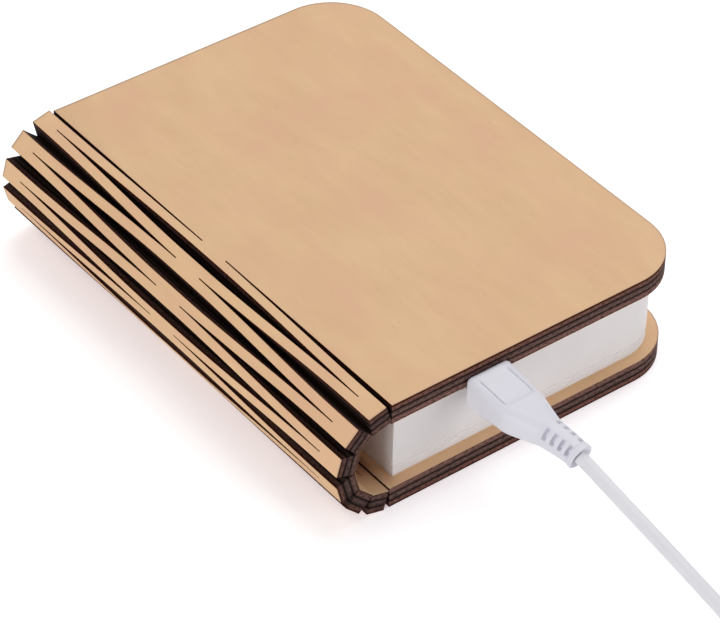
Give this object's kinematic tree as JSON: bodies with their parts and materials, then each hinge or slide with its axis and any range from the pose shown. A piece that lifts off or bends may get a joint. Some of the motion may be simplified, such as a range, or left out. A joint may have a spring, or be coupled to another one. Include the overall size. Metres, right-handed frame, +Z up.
{
  "type": "folding book lamp",
  "caption": "Book-shaped folding lamp, closed: plywood covers on a slit living-hinge spine, white light box and folded paper leaves inside, charging lead plugged into one end.",
  "frame": {"origin": "centre of the closed book's footprint, on the surface that its back cover lies on; the lead isn't counted", "axes": "+Z up through the closed book, +X from the spine to the fore-edge, +Y along the spine away from the charging socket"},
  "size_m": [0.093, 0.2545, 0.0273],
  "materials": {
    "birch_plywood": "smooth unvarnished face, laser-darkened edges",
    "white_paper": "matt tear-proof paper",
    "white_housing": "satin moulded",
    "frosted_diffuser": "frosted translucent",
    "foam_tape": "matt foam",
    "white_circuit_board": "white solder mask",
    "green_circuit_board": "green solder mask",
    "light_diode": "yellow phosphor in a white case",
    "black_chip": "matt moulding compound",
    "plated_steel": "bright tin plating",
    "battery_foil": "crimped foil pouch",
    "red_wire": "insulated wire",
    "white_wire": "insulated wire",
    "magnet_plating": "nickel plating",
    "white_lead": "soft moulded jacket",
    "white_insulator": "moulded insulator"
  },
  "bodies": {
    "back_cover": {"back_cover": "birch_plywood", "back_end_sheet": "white_paper", "back_cover_magnets": "magnet_plating", "trigger_magnet": "magnet_plating"},
    "slat_6": {"slat_6": "birch_plywood", "leaf_11": "white_paper"},
    "bridge_5": {"bridge_5": "birch_plywood", "leaf_10": "white_paper"},
    "slat_5": {"slat_5": "birch_plywood", "leaf_9": "white_paper"},
    "bridge_4": {"bridge_4": "birch_plywood", "leaf_8": "white_paper"},
    "slat_4": {"slat_4": "birch_plywood", "leaf_7": "white_paper"},
    "bridge_3": {"bridge_3": "birch_plywood", "leaf_6": "white_paper"},
    "slat_3": {"slat_3": "birch_plywood", "leaf_5": "white_paper"},
    "bridge_2": {"bridge_2": "birch_plywood", "leaf_4": "white_paper"},
    "slat_2": {"slat_2": "birch_plywood", "leaf_3": "white_paper"},
    "bridge_1": {"bridge_1": "birch_plywood", "leaf_2": "white_paper"},
    "slat_1": {"slat_1": "birch_plywood", "leaf_1": "white_paper"},
    "front_cover": {"front_cover": "birch_plywood", "front_end_sheet": "white_paper", "light_box_tray": "white_housing", "mounting_tape": "foam_tape", "diffuser": "frosted_diffuser", "led_board": "white_circuit_board", "leds": "light_diode", "board_screws": "plated_steel", "battery_pad": "foam_tape", "battery": "battery_foil", "control_board": "green_circuit_board", "controller_chips": "black_chip", "hall_sensor": "black_chip", "usb_socket": "plated_steel", "battery_leads": "red_wire", "led_leads": "white_wire", "front_cover_magnets": "magnet_plating"},
    "charging_lead": {"plug_shell": "plated_steel", "plug_grip": "white_lead", "plug_relief": "white_lead", "charging_cord": "white_lead", "cord_coil": "white_lead", "cord_tail": "white_lead", "usb_a_grip": "white_lead", "usb_a_shell": "plated_steel", "usb_a_tongue": "white_insulator"}
  },
  "joints": [
    {"name": "open_book", "type": "hinge", "parent": "back_cover", "child": "slat_6", "pos_m": [-0.03431, 0, 0.00245], "axis": [0, -1, 0], "range_deg": [0, 30]},
    {"name": "spine_turn_11", "type": "hinge", "parent": "slat_6", "child": "bridge_5", "pos_m": [-0.03716, 0, 0.00321], "axis": [0, -1, 0], "range_deg": [0, 30]},
    {"name": "spine_turn_10", "type": "hinge", "parent": "bridge_5", "child": "slat_5", "pos_m": [-0.03972, 0, 0.00469], "axis": [0, -1, 0], "range_deg": [0, 30]},
    {"name": "spine_turn_9", "type": "hinge", "parent": "slat_5", "child": "bridge_4", "pos_m": [-0.0418, 0, 0.00677], "axis": [0, -1, 0], "range_deg": [0, 30]},
    {"name": "spine_turn_8", "type": "hinge", "parent": "bridge_4", "child": "slat_4", "pos_m": [-0.04328, 0, 0.00933], "axis": [0, -1, 0], "range_deg": [0, 30]},
    {"name": "spine_turn_7", "type": "hinge", "parent": "slat_4", "child": "bridge_3", "pos_m": [-0.04404, 0, 0.01218], "axis": [0, -1, 0], "range_deg": [0, 30]},
    {"name": "spine_turn_6", "type": "hinge", "parent": "bridge_3", "child": "slat_3", "pos_m": [-0.04404, 0, 0.01513], "axis": [0, -1, 0], "range_deg": [0, 30]},
    {"name": "spine_turn_5", "type": "hinge", "parent": "slat_3", "child": "bridge_2", "pos_m": [-0.04328, 0, 0.01798], "axis": [0, -1, 0], "range_deg": [0, 30]},
    {"name": "spine_turn_4", "type": "hinge", "parent": "bridge_2", "child": "slat_2", "pos_m": [-0.0418, 0, 0.02053], "axis": [0, -1, 0], "range_deg": [0, 30]},
    {"name": "spine_turn_3", "type": "hinge", "parent": "slat_2", "child": "bridge_1", "pos_m": [-0.03972, 0, 0.02262], "axis": [0, -1, 0], "range_deg": [0, 30]},
    {"name": "spine_turn_2", "type": "hinge", "parent": "bridge_1", "child": "slat_1", "pos_m": [-0.03716, 0, 0.02409], "axis": [0, -1, 0], "range_deg": [0, 30]},
    {"name": "spine_turn_1", "type": "hinge", "parent": "slat_1", "child": "front_cover", "pos_m": [-0.03431, 0, 0.02486], "axis": [0, -1, 0], "range_deg": [0, 30]},
    {"name": "unplug", "type": "slide", "parent": "front_cover", "child": "charging_lead", "axis": [0, -1, 0], "range_m": [0, 0.03]}
  ],
  "couplings": [
    {"joint": "spine_turn_11", "follows": "open_book", "ratio": 1},
    {"joint": "spine_turn_10", "follows": "open_book", "ratio": 1},
    {"joint": "spine_turn_9", "follows": "open_book", "ratio": 1},
    {"joint": "spine_turn_8", "follows": "open_book", "ratio": 1},
    {"joint": "spine_turn_7", "follows": "open_book", "ratio": 1},
    {"joint": "spine_turn_6", "follows": "open_book", "ratio": 1},
    {"joint": "spine_turn_5", "follows": "open_book", "ratio": 1},
    {"joint": "spine_turn_4", "follows": "open_book", "ratio": 1},
    {"joint": "spine_turn_3", "follows": "open_book", "ratio": 1},
    {"joint": "spine_turn_2", "follows": "open_book", "ratio": 1},
    {"joint": "spine_turn_1", "follows": "open_book", "ratio": 1}
  ]
}
